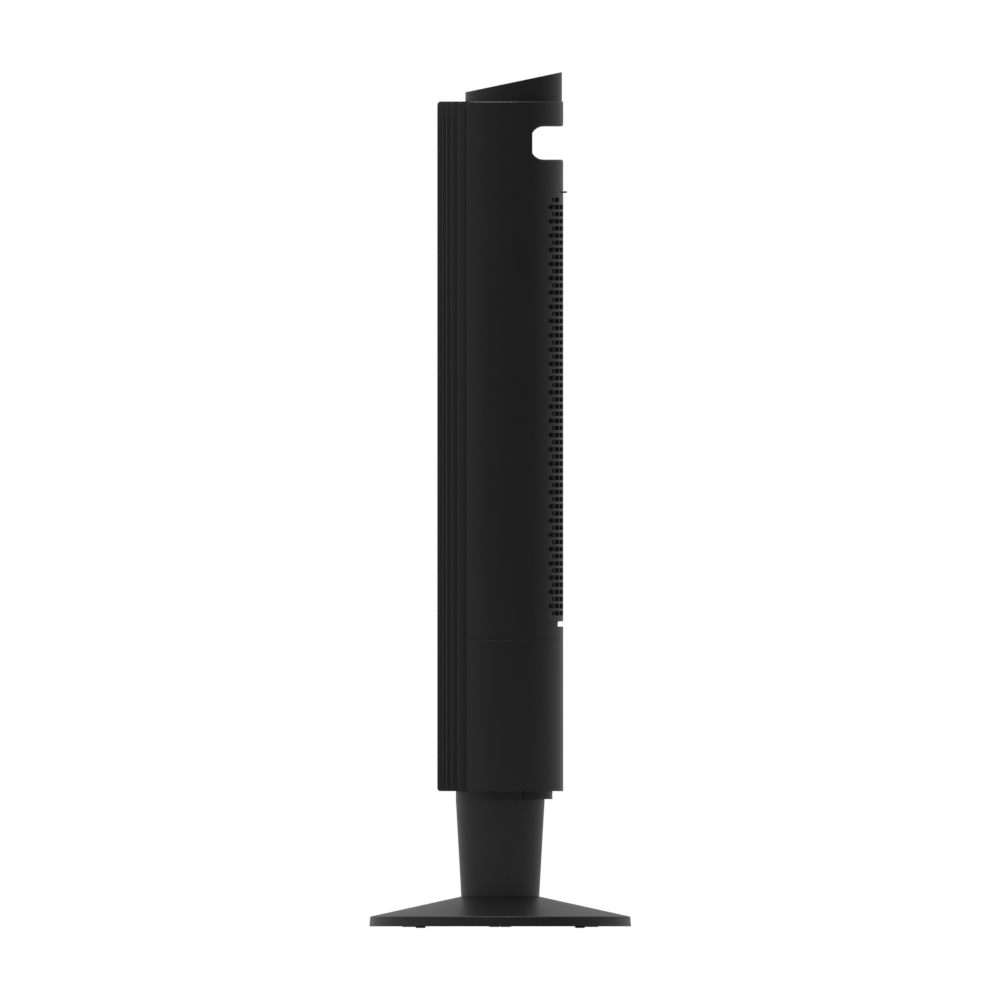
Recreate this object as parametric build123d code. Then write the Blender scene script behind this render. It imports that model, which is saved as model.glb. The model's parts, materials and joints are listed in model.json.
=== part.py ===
from build123d import *
import math
import os

os.makedirs("parts", exist_ok=True)

# Tower fan. Millimetres, +Z up, front faces -Y.
# The origin is on the floor, under the axis that the column turns about.

# Column
tower_radius = 78.75
tower_bottom = 171.0
seam_height = 360.0
tower_top = 1033.0
wall = 2.5
floor_thickness = 3.0
seam_chamfer = 0.6
rear_top_radius = 1.2
running_gap = 0.3
screw_gap = 0.1
bearing_gap = 0.05

# Upright ribs of the air outlet and of the closed cover under it
rib_pitch = 9.0
rib_thickness = 2.2
rib_count = 16
rib_depth = 14.0
rib_top_radius = 4.5
rib_bottom_radius = 4.0
band_depth = 6.25
band_height = 12.0
post_width = 8.5
stiffener_count = 6
stiffener_height = 1.6
stiffener_width = 2.5

# Rear intake grille, a panel that tilts out on its lower edge
grille_low_margin = 23.2
grille_top_drop = 114.4
grille_half_width = 53.5
grille_low_corner = 4.0
grille_high_corner = 5.0
grille_wall = 2.3
slot_pitch = 8.9
slot_height = 5.7
slot_margin_low = 10.2
slot_margin_high = 8.7
short_slot_half = 45.3
long_slot_half = 50.6
blank_half = 28.8
grille_rib_pitch = 13.4
grille_rib_count = 7
grille_rib_width = 1.6
grille_rib_depth = 5.0
rebate_lap = 2.4
rebate_wall = 3.0
rebate_clearance = 0.8
latch_reach = 4.75
latch_thickness = 2.2
latch_half_width = 15.0
hinge_inset = 8.1
hinge_rise = 1.8
hinge_pin_radius = 1.2
hinge_ear_place = 19.0
hinge_ear_width = 3.0
hinge_ear_depth = 2.2

# Relief cut in the housing just under the intake grille
relief_depth = 6.85
relief_height = 5.85
relief_gap = 0.6

# Grip cut through the rear of the column
grip_front = 40.2
grip_height = 41.3
grip_top_drop = 31.3
grip_corner = 16.0
grip_corner_cut = 2.0
grip_edge_radius = 3.0

# Control pod on top of the column
pod_radius = 60.4
pod_offset = 16.75
pod_front_height = 11.5
pod_rear_height = 36.8
panel_thickness = 2.5
button_radius = 6.0
button_spacing = 18.0
button_row = -18.0
button_travel = 0.8
button_flange = 1.2
button_flange_height = 1.2
window_width = 60.0
window_length = 22.0
window_corner = 4.0
window_thickness = 1.8
window_ledge = 3.0
window_row = 16.0
board_drop = 9.0
board_thickness = 1.6
pillar_radius = 3.0
pillar_x = 42.0
pillar_low = -3.0
pillar_high = 20.0
board_row = 2.0
board_long = 92.0
board_wide = 52.0
switch_key = 1.8
switch_size = 6.0
switch_height = 2.0
pod_flange = 7.0
pod_screw_count = 4
pod_screw_turn = 45.0
pod_screw_length = 6.0
button_gap = 0.3
button_names = ["power_button", "speed_button", "mode_button", "swing_button", "timer_button"]

# Neck and base
neck_top_radius = 55.5
neck_bottom_radius = 48.8
neck_straight = 11.5
neck_wall = 3.0
neck_lap = 0.6
boss_width = 9.9
boss_height = 10.0
boss_inset = 4.9
boss_front = 30.0
base_radius = 163.6
rim_draft = 1.0
rim_bottom = 2.0
rim_top = 14.3
rim_edge_radius = 1.5
cone_top = 39.4
base_wall = 3.0
cover_recess = 0.6
cover_thickness = 3.0
wire_hole = 12.0
weight_inner = 60.0
weight_inset = 33.6
weight_thickness = 4.0
base_rib_inset = 63.6
cover_screw_inset = 13.6
cover_screw_count = 6
cover_screw_length = 7.0
cover_screw_sink = 2.1
backing_thickness = 2.0
neck_screw_inset = 10.8
neck_screw_count = 4
neck_screw_length = 16.0
foot_radius = 6.5
foot_inset = 22.6
foot_count = 4
foot_turn = 45.0
foot_stem = 3.0
foot_rounding = 1.6
pad_inset = 41.1
pad_count = 4
pad_width = 16.0
pad_length = 27.0
pad_split = 1.0
pad_bottom = 1.25

# Turntable and oscillation drive
hub_radius = 22.0
hub_bore = 14.0
hub_flange_inset = 9.5
hub_flange_thickness = 4.0
hub_screw_inset = 14.5
hub_screw_count = 4
hub_screw_length = 6.0
hub_screw_sink = 2.1
hub_step = 4.0
washer_thickness = 0.8
washer_inner = 25.0
washer_outer = 36.0
collar_height = 2.6
collar_width = 4.0
gear_module = 1.5
gear_teeth = 36
pinion_teeth = 18
gear_thickness = 6.0
gear_backlash = 0.3
gear_dedendum = 1.25
gear_overlap = 1.0
gear_screw_count = 3
gear_screw_length = 10.0
pressure_angle = 20.0
stepper_radius = 17.5
stepper_height = 20.0
stepper_shaft = 2.5
bracket_thickness = 2.0
bracket_post = 4.0
bracket_reach = 24.0
bracket_rise = 1.5
bracket_margin = 1.0
bracket_hole = 5.5
stepper_ear = 1.0
stepper_screw_length = 8.0

# Air mover
wheel_offset = 8.0
wheel_radius = 50.0
wheel_rise = 10.0
wheel_top_drop = 4.6
wheel_plate = 2.0
wheel_segments = 6
blade_count = 24
blade_inner = 37.0
blade_sweep = 8.0
blade_thickness_angle = 1.7
blade_belly = 0.25
blade_ring = 3.0
blade_end_gap = 0.2
hub_outer = 10.0
hub_rim = 6.0
hub_drop = 9.0
hub_grip = 14.0
stub_radius = 7.0
stub_flange = 3.0
deck_drop = 3.0
deck_thickness = 3.0
ledge_width = 12.0
bearing_plate_rise = 5.9
bearing_plate_thickness = 3.0
shaft_radius = 4.0
guide_radius = 79.0
guide_centre_x = -12.0
guide_centre_y = -18.0
guide_wall = 2.0
tongue_gap = 4.6
tongue_nose = 3.0
tongue_slant = 14.0
scroll_end_y = 42.0

# Motor under the deck
motor_radius = 42.0
motor_height = 58.0
motor_shell = 1.5
motor_mount_height = 4.0
motor_mount_radius = 6.0
motor_mount_ring = 34.0
motor_mount_count = 3
motor_mount_turn = 90.0
stator_outer = 38.0
stator_inner = 24.0
stator_height = 24.0
rotor_gap = 0.5
winding_height = 7.0
bush_radius = 8.0
bush_height = 6.0
motor_vent_radius = 6.0
motor_vent_count = 8
winding_margin = 3.0
top_bearing_radius = 11.0
top_bearing_height = 7.0
boot_wall = 3.0

# Electronics in the lower housing
board_width = 88.0
board_height = 84.0
board_rise = 21.0
board_place = 56.0
board_pillar_length = 30.0
transformer_size = (24.0, 22.0, 18.0)
relay_size = (16.0, 12.0, 15.0)
terminal_size = (22.0, 9.0, 11.0)
heat_sink_size = (18.0, 30.0, 12.0)
capacitor_radius = 7.0
capacitor_length = 20.0
component_gap = 8.0
gland_bore = 3.4
gland_flange = 4.4
gland_flange_depth = 1.2
gland_wall = 0.9
board_margin = 6.0

# Screws: shank radius, head radius, head height
screw_shank = 1.5
screw_head = 3.0
screw_head_height = 2.0

# Values worked out from the sizes above
seat = (Align.CENTER, Align.CENTER, Align.MIN)
inner_radius = tower_radius - wall
grille_bottom = seam_height + grille_low_margin
grille_top = tower_top - grille_top_drop
grip_top = tower_top - grip_top_drop
grip_bottom = grip_top - grip_height
wheel_bottom = seam_height + wheel_rise
wheel_top = grille_top - wheel_top_drop
deck_top = seam_height - deck_drop
bearing_plate_bottom = grille_top + bearing_plate_rise
board_bottom = tower_bottom + board_rise
boss_reach = neck_top_radius + boss_width
boss_round = neck_top_radius - boss_inset
weight_outer = base_radius - weight_inset
base_rib_radius = base_radius - base_rib_inset
cover_screw_ring = base_radius - cover_screw_inset
neck_screw_ring = neck_bottom_radius - neck_screw_inset
foot_ring = base_radius - foot_inset
pad_outer = base_radius - pad_inset
hub_flange_radius = neck_top_radius - hub_flange_inset
hub_screw_ring = neck_top_radius - hub_screw_inset
rib_reach = (rib_count - 1) / 2 * rib_pitch + rib_thickness / 2
split_y = -math.sqrt(tower_radius ** 2 - rib_reach ** 2)
band_outer = tower_radius - band_depth
band_inner = band_outer - wall
post_outer = inner_radius - running_gap
post_rear = split_y + post_width
core_radius = band_inner - running_gap
neck_top = tower_bottom - running_gap
neck_rim = tower_bottom + neck_lap
rim_radius = base_radius - rim_draft
cone_slope = (cone_top - rim_top) / (rim_radius - neck_bottom_radius)
cover_bottom = rim_bottom + cover_recess
cover_top = cover_bottom + cover_thickness
pinion_distance = gear_module * (gear_teeth + pinion_teeth) / 2
floor_top = tower_bottom + floor_thickness
gear_bottom = floor_top + collar_height + running_gap
gear_top = gear_bottom + gear_thickness
bracket_bottom = gear_top + bracket_rise
gear_screw_ring = hub_radius - hub_step / 2
button_depth = panel_thickness + running_gap + button_flange_height
board_pillar_x = board_width / 2 - board_margin
scroll_end_x = guide_centre_x + math.sqrt(guide_radius ** 2 - (scroll_end_y - guide_centre_y) ** 2)
hinge_y = tower_radius - hinge_inset
hinge_z = grille_bottom + hinge_rise
opening_bottom = grille_bottom - relief_gap
opening_top = grille_top + running_gap
opening_half_width = grille_half_width + running_gap
rebate_front = math.sqrt(inner_radius ** 2 - opening_half_width ** 2) - 2 * rebate_wall
latch_top = grille_top + latch_thickness
pod_tilt = math.degrees(math.atan((pod_rear_height - pod_front_height) / (2 * pod_radius)))
pod_centre_height = tower_top + (pod_front_height + pod_rear_height) / 2
deck_bottom = deck_top - deck_thickness
motor_top = deck_bottom - motor_mount_height
motor_bottom = motor_top - motor_height
stator_bottom = motor_top - (motor_height + stator_height) / 2
stator_top = stator_bottom + stator_height
guide_top = bearing_plate_bottom - deck_thickness - running_gap
cap_thickness = wall + 1.0
panel_plane = Plane(
    origin=(0, pod_offset, pod_centre_height),
    x_dir=(1, 0, 0),
    z_dir=(0, -math.sin(math.radians(pod_tilt)), math.cos(math.radians(pod_tilt))),
)


# General shapes
def disc(radius, low, high, x=0.0, y=0.0):
    return Pos(x, y, low) * Cylinder(radius, high - low, align=seat)


def ring(outer, inner, low, high, x=0.0, y=0.0):
    return disc(outer, low, high, x, y) - disc(inner, low, high, x, y)


def block(x_low, x_high, y_low, y_high, z_low, z_high):
    size = Box(x_high - x_low, y_high - y_low, z_high - z_low, align=(Align.MIN, Align.MIN, Align.MIN))
    return Pos(x_low, y_low, z_low) * size


def slab(y_low, y_high, z_low, z_high):
    reach = 2 * base_radius
    return block(-reach, reach, y_low, y_high, z_low, z_high)


def around(shape, count, first=0.0):
    return [Rot(0, 0, first + i * 360 / count) * shape for i in range(count)]


def screw(length):
    # Head on top of the seat plane z = 0, shank below it
    return disc(screw_shank, -length, 0) + disc(screw_head, 0, screw_head_height)


def screw_hole(length):
    return disc(screw_shank + screw_gap, -length, 0)


# Gear teeth: involute flanks drawn as arcs through three points of the involute
def gear_outline(teeth):
    pitch = gear_module * teeth / 2
    base = pitch * math.cos(math.radians(pressure_angle))
    tip = pitch + gear_module
    root = pitch - gear_dedendum * gear_module
    start = max(base, root)
    half = (math.pi * gear_module / 2 - gear_backlash) / (2 * pitch)
    roll = math.tan(math.radians(pressure_angle)) - math.radians(pressure_angle)

    def flank_point(radius, side):
        turn = math.acos(base / radius)
        angle = half + roll - (math.tan(turn) - turn)
        return (radius * math.cos(angle), side * radius * math.sin(angle))

    middle = (start + tip) / 2
    upper = ThreePointArc(flank_point(start, 1), flank_point(middle, 1), flank_point(tip, 1))
    lower = ThreePointArc(flank_point(start, -1), flank_point(middle, -1), flank_point(tip, -1))
    crown = ThreePointArc(upper @ 1, (tip, 0), lower @ 1)
    foot = Polyline(upper @ 0, (root - gear_overlap, 0), lower @ 0)
    tooth = make_face([upper, crown, lower, foot])
    return Circle(root) + around(tooth, teeth)


def gear_blank(teeth):
    return Pos(0, 0, gear_bottom) * extrude(gear_outline(teeth), gear_thickness)


# Base and neck
def cone_height(radius):
    return cone_top - cone_slope * (radius - neck_bottom_radius)


def base_shell():
    rim_inner = base_radius - base_wall
    profile = make_face(Polyline(
        (wire_hole, cone_top),
        (neck_bottom_radius, cone_top),
        (rim_radius, rim_top),
        (base_radius, rim_bottom),
        (rim_inner, rim_bottom),
        (rim_inner - rim_draft, cone_height(rim_inner - rim_draft) - base_wall),
        (neck_bottom_radius - base_wall, cone_top - base_wall),
        (wire_hole, cone_top - base_wall),
        close=True,
    ))
    edge = profile.vertices().sort_by_distance((rim_radius, rim_top))[0]
    profile = fillet(edge, rim_edge_radius)
    shell = revolve(Plane.XZ * profile, Axis.Z)
    rib_top = cone_height(base_rib_radius) - base_wall / 2
    shell += ring(base_rib_radius + base_wall, base_rib_radius, cover_top + weight_thickness, rib_top)
    boss_top = cone_height(cover_screw_ring) - base_wall
    boss = disc(2 * screw_head, cover_top, boss_top, cover_screw_ring)
    shell += around(boss, cover_screw_count)
    hole = Pos(cover_screw_ring, 0, cover_bottom + cover_screw_sink) * Rot(180, 0, 0)
    hole = hole * screw_hole(cover_screw_length)
    shell -= around(hole, cover_screw_count)
    shell -= around(disc(screw_shank + screw_gap, 0, cone_top, neck_screw_ring), neck_screw_count)
    return shell


def base_cover():
    radius = base_radius - base_wall - rim_draft - screw_gap
    cover = disc(radius, cover_bottom, cover_top)
    cover -= around(disc(foot_stem, cover_bottom, cover_top, foot_ring), foot_count, foot_turn)
    hole = disc(screw_shank + screw_gap, cover_bottom, cover_top, cover_screw_ring)
    hole += disc(screw_head + screw_gap, cover_bottom, cover_bottom + cover_screw_sink, cover_screw_ring)
    cover -= around(hole, cover_screw_count)
    return cover


def base_weight():
    return ring(weight_outer, weight_inner, cover_top, cover_top + weight_thickness)


def backing_plate():
    top = cone_top - base_wall
    plate = ring(neck_bottom_radius - 2 * base_wall, wire_hole, top - backing_thickness, top)
    return plate - around(disc(screw_shank + screw_gap, 0, cone_top, neck_screw_ring), neck_screw_count)


def rubber_feet():
    sole = disc(foot_radius, 0, cover_bottom)
    sole = fillet(sole.edges().group_by(Axis.Z)[0], foot_rounding)
    foot = sole + disc(foot_stem, cover_bottom, cover_top + foot_rounding)
    return around(Pos(foot_ring, 0, 0) * foot, foot_count, foot_turn)


def base_pads():
    pad = extrude(RectangleRounded(pad_width, pad_length, pad_width / 4), cover_bottom - pad_bottom)
    pad = Pos(pad_outer - pad_width / 2, 0, pad_bottom) * pad
    pad -= slab(-pad_split / 2, pad_split / 2, 0, cover_top)
    return around(pad, pad_count)


def base_screws():
    upturned = Rot(180, 0, 0) * screw(cover_screw_length)
    return around(Pos(cover_screw_ring, 0, cover_bottom + cover_screw_sink) * upturned, cover_screw_count)


def neck_column():
    # The rim at the top runs in a groove under the column
    knee = neck_top - neck_straight
    plate_top = neck_top - hub_flange_thickness - washer_thickness
    outer = make_face(Polyline(
        (0, cone_top),
        (neck_bottom_radius, cone_top),
        (neck_top_radius, knee),
        (neck_top_radius, neck_rim),
        (0, neck_rim),
        close=True,
    ))
    inner = make_face(Polyline(
        (0, cone_top + neck_wall),
        (neck_bottom_radius - neck_wall, cone_top + neck_wall),
        (neck_top_radius - neck_wall, knee),
        (neck_top_radius - neck_wall, plate_top - neck_wall),
        (0, plate_top - neck_wall),
        close=True,
    ))
    column = revolve(Plane.XZ * (outer - inner), Axis.Z)
    column -= disc(neck_top_radius - neck_wall, plate_top, neck_rim)
    column -= disc(wire_hole, cone_top, neck_rim)
    through = disc(screw_shank + screw_gap, plate_top - neck_wall, plate_top, hub_screw_ring)
    column -= around(through, hub_screw_count)
    boss = disc(2 * screw_head, cone_top, cone_top + neck_screw_length, neck_screw_ring)
    column += around(boss, neck_screw_count)
    hole = Pos(neck_screw_ring, 0, cone_top) * Rot(180, 0, 0) * screw_hole(neck_screw_length)
    return column - around(hole, neck_screw_count)


def neck_screws():
    low = cone_top - base_wall - backing_thickness
    upturned = Rot(180, 0, 0) * screw(neck_screw_length)
    return around(Pos(neck_screw_ring, 0, low) * upturned, neck_screw_count)


# Turntable: a fixed hub on the neck, with a fixed gear that the pinion rolls round
def turntable_hub():
    flange_top = neck_top - washer_thickness
    hub = disc(hub_flange_radius, flange_top - hub_flange_thickness, flange_top)
    hub += disc(hub_radius, flange_top, gear_bottom)
    hub += disc(hub_radius - hub_step, gear_bottom, gear_top)
    hub -= disc(hub_bore, 0, gear_top)
    sink = screw_hole(hub_screw_length) + disc(screw_head + screw_gap, 0, hub_screw_sink)
    hub -= around(Pos(hub_screw_ring, 0, flange_top - hub_screw_sink) * sink, hub_screw_count)
    return hub - around(Pos(gear_screw_ring, 0, gear_top) * screw_hole(gear_screw_length), gear_screw_count)


def hub_screws():
    low = neck_top - washer_thickness - hub_screw_sink
    return around(Pos(hub_screw_ring, 0, low) * screw(hub_screw_length), hub_screw_count)


def thrust_washer():
    return ring(washer_outer, washer_inner, neck_top - washer_thickness, neck_top)


def oscillation_gear():
    gear = gear_blank(gear_teeth) - disc(hub_radius - hub_step, gear_bottom, gear_top)
    return gear - around(Pos(gear_screw_ring, 0, gear_top) * screw_hole(gear_screw_length), gear_screw_count)


def gear_screws():
    return around(Pos(gear_screw_ring, 0, gear_top) * screw(gear_screw_length), gear_screw_count)


def pinion_turn():
    # Half a tooth of turn sets the pinion's space on the fixed gear's tooth
    on_gear = 270 / 360 * gear_teeth % 1
    return 90 + (0.5 + on_gear) * 360 / pinion_teeth


def drive_pinion():
    pinion = Rot(0, 0, pinion_turn()) * gear_blank(pinion_teeth)
    pinion += disc(2 * stepper_shaft, gear_top, bracket_bottom - running_gap)
    pinion += disc(stepper_shaft, gear_top, bracket_bottom + stepper_height / 2)
    return Pos(0, -pinion_distance, 0) * pinion


def stepper_motor():
    low = bracket_bottom + bracket_thickness
    body = disc(stepper_radius, 0, stepper_height)
    body += extrude(SlotOverall(2 * (bracket_reach + bracket_post), 2 * bracket_post), stepper_ear)
    body -= [disc(screw_shank + screw_gap, 0, stepper_ear, x) for x in (-bracket_reach, bracket_reach)]
    body -= disc(stepper_shaft + bearing_gap, 0, stepper_height / 2)
    return Pos(0, -pinion_distance, low) * body


def stepper_bracket():
    high = bracket_bottom + bracket_thickness
    plate_length = 2 * (bracket_reach + bracket_post + bracket_margin)
    plate = RectangleRounded(plate_length, stepper_radius + 2 * bracket_post, bracket_post)
    bracket = Pos(0, -pinion_distance, bracket_bottom) * extrude(plate, bracket_thickness)
    bracket -= disc(bracket_hole, bracket_bottom, high, 0, -pinion_distance)
    for x in (-bracket_reach, bracket_reach):
        bracket += disc(bracket_post, floor_top, bracket_bottom, x, -pinion_distance)
        bracket -= Pos(x, -pinion_distance, high) * screw_hole(stepper_screw_length)
    return bracket


def stepper_screws():
    high = bracket_bottom + bracket_thickness + stepper_ear
    fixing = Pos(0, -pinion_distance, high) * screw(stepper_screw_length)
    return [Pos(x, 0, 0) * fixing for x in (-bracket_reach, bracket_reach)]


# Column housings
def outer_profile(inner, low, high, low_cut, high_cut, rounded):
    # Wall section with its two outer corners cut: rounded by an arc or bevelled
    width = tower_radius - inner
    section = Pos(inner + width / 2, (low + high) / 2) * Rectangle(width, high - low)
    for cut, end in ((low_cut, 0), (high_cut, -1)):
        if cut > 0:
            corner = section.vertices().group_by(Axis.X)[-1].sort_by(Axis.Y)[end]
            section = fillet(corner, cut) if rounded else chamfer(corner, cut)
    return section


def turned(section):
    return revolve(Plane.XZ * section, Axis.Z)


def lower_rear_housing():
    shell = turned(outer_profile(inner_radius, tower_bottom, seam_height, 0, seam_chamfer, False))
    shell = shell & slab(split_y, 2 * tower_radius, 0, tower_top)
    rear_half = slab(post_rear + running_gap, 2 * tower_radius, 0, tower_top)
    shell += disc(inner_radius, tower_bottom, floor_top) & rear_half
    shell += disc(core_radius, tower_bottom, floor_top)
    shell += ring(hub_radius + collar_width, hub_radius, floor_top, floor_top + collar_height)
    boss = disc(boss_round, tower_bottom - boss_height, tower_bottom, 0, boss_reach - boss_round)
    boss = boss & slab(boss_front, 2 * tower_radius, 0, tower_top)
    shell += boss - disc(neck_top_radius + running_gap, tower_bottom - boss_height, tower_bottom)
    groove_inner = neck_top_radius - neck_wall - running_gap
    shell -= ring(neck_top_radius + running_gap, groove_inner, tower_bottom, neck_rim + running_gap)
    shell += ledge(deck_bottom)
    shell -= disc(hub_radius + bearing_gap, tower_bottom, floor_top + collar_height)
    gland_height = tower_bottom - boss_height / 2
    riser_place = boss_reach - gland_flange_depth - 2 * gland_bore
    bore = Cylinder(gland_bore, boss_reach - riser_place, align=seat)
    pocket_depth = gland_flange_depth + running_gap
    pocket = Cylinder(gland_flange, 2 * pocket_depth, align=seat)
    shell -= Pos(0, riser_place, gland_height) * Rot(-90, 0, 0) * bore
    shell -= Pos(0, boss_reach - pocket_depth, gland_height) * Rot(-90, 0, 0) * pocket
    shell -= disc(gland_bore, gland_height, floor_top, 0, riser_place)
    for x in (-board_pillar_x, board_pillar_x):
        for z in (board_bottom + board_margin, board_bottom + board_height - board_margin):
            pillar = Rot(-90, 0, 0) * Cylinder(pillar_radius, board_pillar_length, align=seat)
            pillar = Pos(x, board_place + board_thickness, z) * pillar
            shell += pillar & disc(inner_radius + wall / 2, 0, tower_top)
    return shell


def ledge(top):
    # Inner shelf of the rear housing that carries a deck
    shelf = ring(inner_radius + wall / 2, inner_radius - ledge_width, top - deck_thickness, top)
    return shelf & slab(post_rear + running_gap, 2 * tower_radius, 0, tower_top)


def rib_field(rib_inner, low, high, low_cut, high_cut):
    # Upright blades parallel to Y, their front edges on the column's cylinder
    places = [(i - (rib_count - 1) / 2) * rib_pitch for i in range(rib_count)]
    zone = turned(outer_profile(rib_inner, low, high, low_cut, high_cut, True))
    half = rib_thickness / 2
    ribs = [block(x - half, x + half, -tower_radius, post_rear, low, high) for x in places]
    field = zone & (Part() + ribs)
    return field - (ring(2 * tower_radius, post_outer, low, high) & slab(split_y, tower_radius, low, high))


def side_posts(low, high):
    # Flanges inside the rear housing, each with a web to the outermost rib
    flange = ring(post_outer, band_inner, low, high) & slab(split_y, post_rear, low, high)
    web = ring(tower_radius - rib_thickness / 2, band_inner, low, high)
    return flange + (web & slab(split_y - rib_thickness, split_y, low, high))


def front_band(outer, inner, low, high):
    return ring(outer, inner, low, high) & slab(-tower_radius, post_rear, low, high)


def lower_front_cover():
    cover = rib_field(band_inner, tower_bottom, seam_height, rib_bottom_radius, 0)
    cover += front_band(band_outer, band_inner, tower_bottom, seam_height)
    return cover + side_posts(tower_bottom, seam_height)


def front_grille():
    cap_bottom = tower_top - cap_thickness
    grille = rib_field(tower_radius - rib_depth, seam_height, tower_top, 0, rib_top_radius)
    grille -= disc(band_outer, cap_bottom, tower_top)
    grille -= slab(split_y, 0, cap_bottom, tower_top)
    grille -= disc(band_inner, bearing_plate_bottom - running_gap, tower_top)
    grille += side_posts(seam_height, cap_bottom)
    grille += front_band(band_outer, band_inner, seam_height, seam_height + band_height)
    grille += front_band(band_outer, band_inner, bearing_plate_bottom, cap_bottom)
    stiffener_outer = tower_radius - rib_depth + stiffener_width
    span = bearing_plate_bottom - seam_height - band_height
    for i in range(stiffener_count):
        low = seam_height + band_height + (i + 1) * span / (stiffener_count + 1)
        grille += front_band(stiffener_outer, stiffener_outer - stiffener_width, low, low + stiffener_height)
    return grille


def grip_outline(grow):
    # Section of the grip cut in the YZ plane, enlarged by its own wall for the lining
    # Its front corners are wide arcs that the front face cuts short
    low = grip_bottom - grow
    high = grip_top + grow
    front = grip_front - grip_corner_cut - grow
    rear = 2 * tower_radius
    outline = Pos((front + rear) / 2, (low + high) / 2) * Rectangle(rear - front, high - low)
    corners = outline.vertices().group_by(Axis.X)[0]
    outline = fillet(corners, grip_corner + grow)
    return extrude(Plane.YZ * outline, 2 * tower_radius, both=True) & slab(grip_front - grow, rear, low, high)


def grille_outline(half_width, low, high, low_corner, high_corner):
    # Rear view outline of the intake grille, extruded along Y through the rear wall
    outline = Pos(0, (low + high) / 2) * Rectangle(2 * half_width, high - low)
    outline = fillet(outline.vertices().group_by(Axis.Y)[0], low_corner)
    outline = fillet(outline.vertices().group_by(Axis.Y)[-1], high_corner)
    solid = extrude(Plane.XZ * outline, -2 * tower_radius)
    return solid


def relief_cut(grow):
    face_y = tower_radius - relief_depth
    return slab(face_y - grow, 2 * tower_radius, opening_bottom - relief_height - grow, opening_bottom)


def opening_rebate():
    # Lips inside the rear housing that close the joint over and under the intake grille
    outer = inner_radius - rebate_clearance
    inner = inner_radius - rebate_wall
    foot = ring(inner_radius + wall / 2, inner, opening_bottom - rebate_wall, opening_bottom)
    low_lip = foot + ring(outer, inner, opening_bottom, opening_bottom + rebate_lap)
    low_lip = low_lip & slab(rebate_front, hinge_y - hinge_ear_depth + running_gap / 2, 0, tower_top)
    head = ring(inner_radius + wall / 2, inner, opening_top, opening_top + rebate_wall)
    high_lip = head + ring(outer, inner, opening_top - rebate_lap, opening_top)
    high_lip = high_lip & slab(rebate_front, tower_radius, 0, tower_top)
    return low_lip + high_lip


def upper_rear_housing():
    cap_bottom = tower_top - cap_thickness
    section = outer_profile(inner_radius, seam_height, tower_top, 0, rear_top_radius, True)
    low_corner = section.vertices().group_by(Axis.Y)[0].sort_by(Axis.X)[-1]
    shell = turned(chamfer(low_corner, seam_chamfer))
    shell = shell & slab(split_y, 2 * tower_radius, 0, 2 * tower_top)
    shell += ledge(bearing_plate_bottom)
    shell += cap_ledge(cap_bottom)
    lining = (grip_outline(wall) & disc(inner_radius + wall / 2, seam_height, cap_bottom))
    shell += lining & slab(split_y, 2 * tower_radius, 0, tower_top)
    shell -= grip_outline(0)
    shell = fillet(grip_edges(shell), grip_edge_radius)
    shell += relief_cut(wall) & disc(inner_radius + wall / 2, seam_height, grille_bottom)
    shell -= relief_cut(0)
    opening = grille_outline(opening_half_width, opening_bottom, opening_top,
                             grille_low_corner, grille_high_corner)
    shell -= opening & slab(0, 2 * tower_radius, 0, tower_top)
    shell += opening_rebate()
    ear_half = hinge_ear_width / 2
    ear = block(-ear_half, ear_half, hinge_y - hinge_ear_depth, hinge_y + hinge_ear_depth,
                opening_bottom, hinge_z + hinge_ear_depth)
    shell += [Pos(x, 0, 0) * ear for x in (-hinge_ear_place, hinge_ear_place)]
    hinge_bore = Cylinder(hinge_pin_radius + bearing_gap, 4 * hinge_ear_place)
    shell -= Pos(0, hinge_y, hinge_z) * Rot(0, 90, 0) * hinge_bore
    latch_zone = latch_half_width + running_gap
    latch_base = math.sqrt((tower_radius - grille_wall) ** 2 - latch_zone ** 2) - running_gap
    latch_high = latch_top + running_gap
    return shell - block(-latch_zone, latch_zone, latch_base, 2 * tower_radius, grille_top, latch_high)


def grip_edges(shell):
    # Edges where the grip cut meets the outside of the column
    found = []
    for edge in shell.edges():
        middle = edge @ 0.5
        on_skin = abs(math.hypot(middle.X, middle.Y) - tower_radius) < 0.01
        if on_skin and grip_bottom - 0.1 < middle.Z < grip_top + 0.1:
            found.append(edge)
    return found


def cap_ledge(top):
    shelf = ring(inner_radius + wall / 2, inner_radius - ledge_width / 2, top - wall, top)
    return shelf & slab(post_rear + running_gap, 2 * tower_radius, 0, tower_top)


def rear_grille():
    shell = ring(tower_radius, tower_radius - grille_wall, grille_bottom, grille_top)
    panel = shell & grille_outline(grille_half_width, grille_bottom, grille_top,
                                   grille_low_corner, grille_high_corner)
    panel -= grille_slots()
    lip = ring(tower_radius + latch_reach, tower_radius - grille_wall, grille_top, latch_top)
    panel += lip & block(-latch_half_width, latch_half_width, 0, 2 * tower_radius, grille_top, latch_top)
    return panel + hinge_pins()


def hinge_pins():
    # Ears on the inside of the panel with pins that point inwards through the housing's ears
    near = hinge_ear_place + hinge_ear_width / 2 + running_gap
    far = near + hinge_ear_width
    ear = block(near, far, hinge_y - hinge_ear_depth, tower_radius, grille_bottom, hinge_z + hinge_ear_depth)
    ear = ear & disc(tower_radius - grille_wall / 2, grille_bottom, grille_top)
    pin = Pos(far - hinge_ear_width / 2, hinge_y, hinge_z) * Rot(0, -90, 0)
    pin = pin * Cylinder(hinge_pin_radius, 2 * hinge_ear_width + running_gap, align=seat)
    return [ear + pin, mirror(ear + pin, Plane.YZ)]


def grille_bars():
    return [(i - (grille_rib_count - 1) / 2) * grille_rib_pitch for i in range(grille_rib_count)]


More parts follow.
